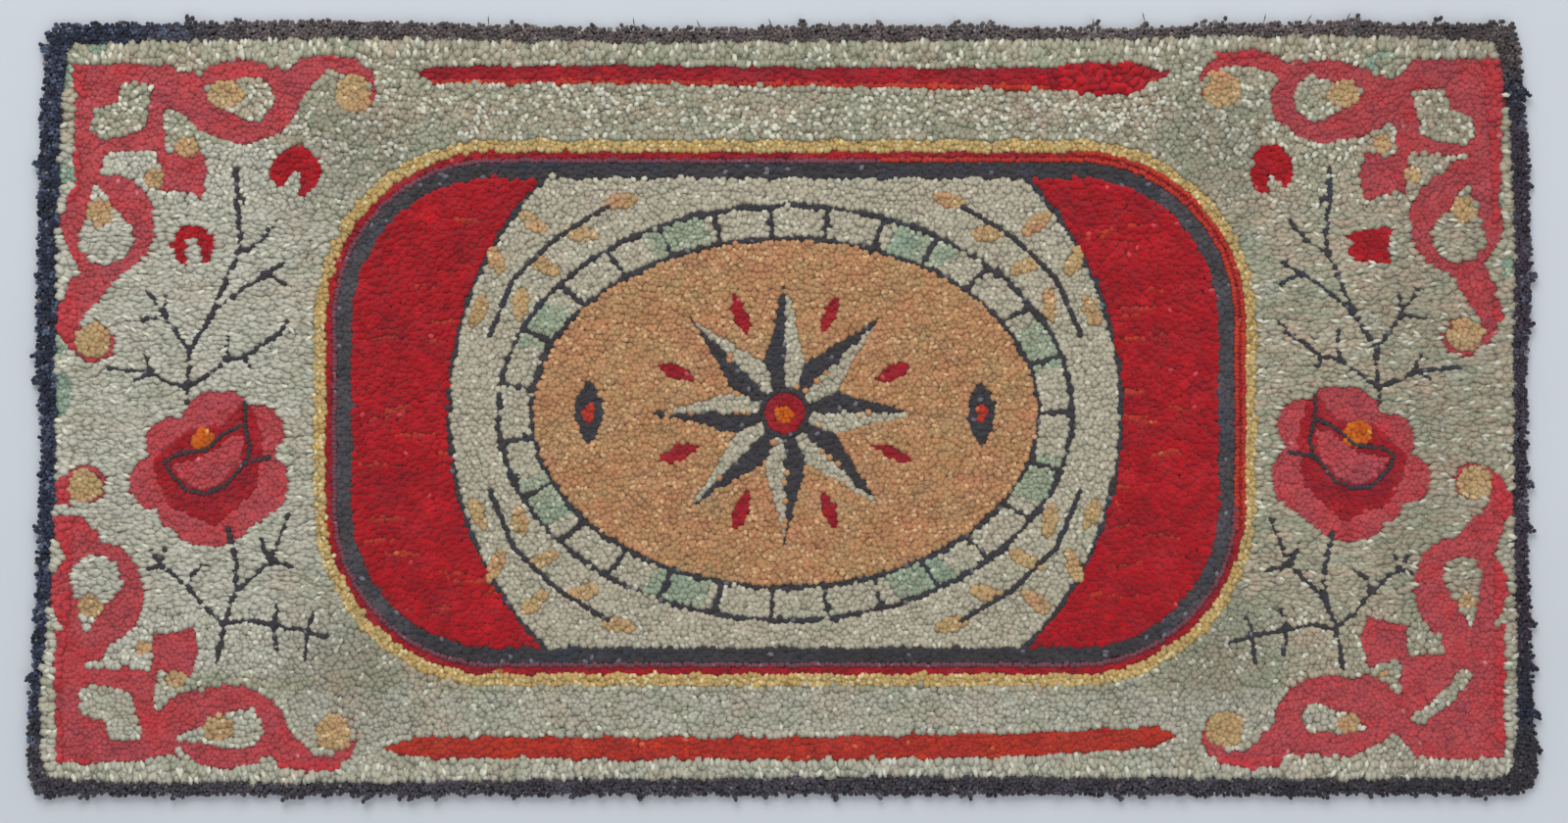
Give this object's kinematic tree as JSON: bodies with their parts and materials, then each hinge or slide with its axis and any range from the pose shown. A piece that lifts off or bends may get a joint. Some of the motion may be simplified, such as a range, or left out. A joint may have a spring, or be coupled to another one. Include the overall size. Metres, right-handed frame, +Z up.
{
  "type": "hooked rug",
  "caption": "Flat rectangular hooked rug: hessian foundation, clipped wool pile field with a patterned face, and a raised, shaggy dark wool border.",
  "frame": {"origin": "middle of the rug's underside, on the floor", "axes": "+X along the rug's length, +Y across it towards the edge that is uppermost in the picture, +Z up, the way the pile faces"},
  "size_m": [1.3794, 0.7162, 0.0129],
  "materials": {
    "hessian": "aged plain-woven jute hessian, matt",
    "field_wool": "clipped wool pile, sage ground with coral, crimson, tan, yellow and charcoal yarns, matt",
    "border_wool": "longer, frayed navy and brown-black wool pile, matt"
  },
  "bodies": {
    "root": {"foundation_cloth": "hessian", "field_pile": "field_wool", "border_pile": "border_wool"}
  },
  "joints": []
}
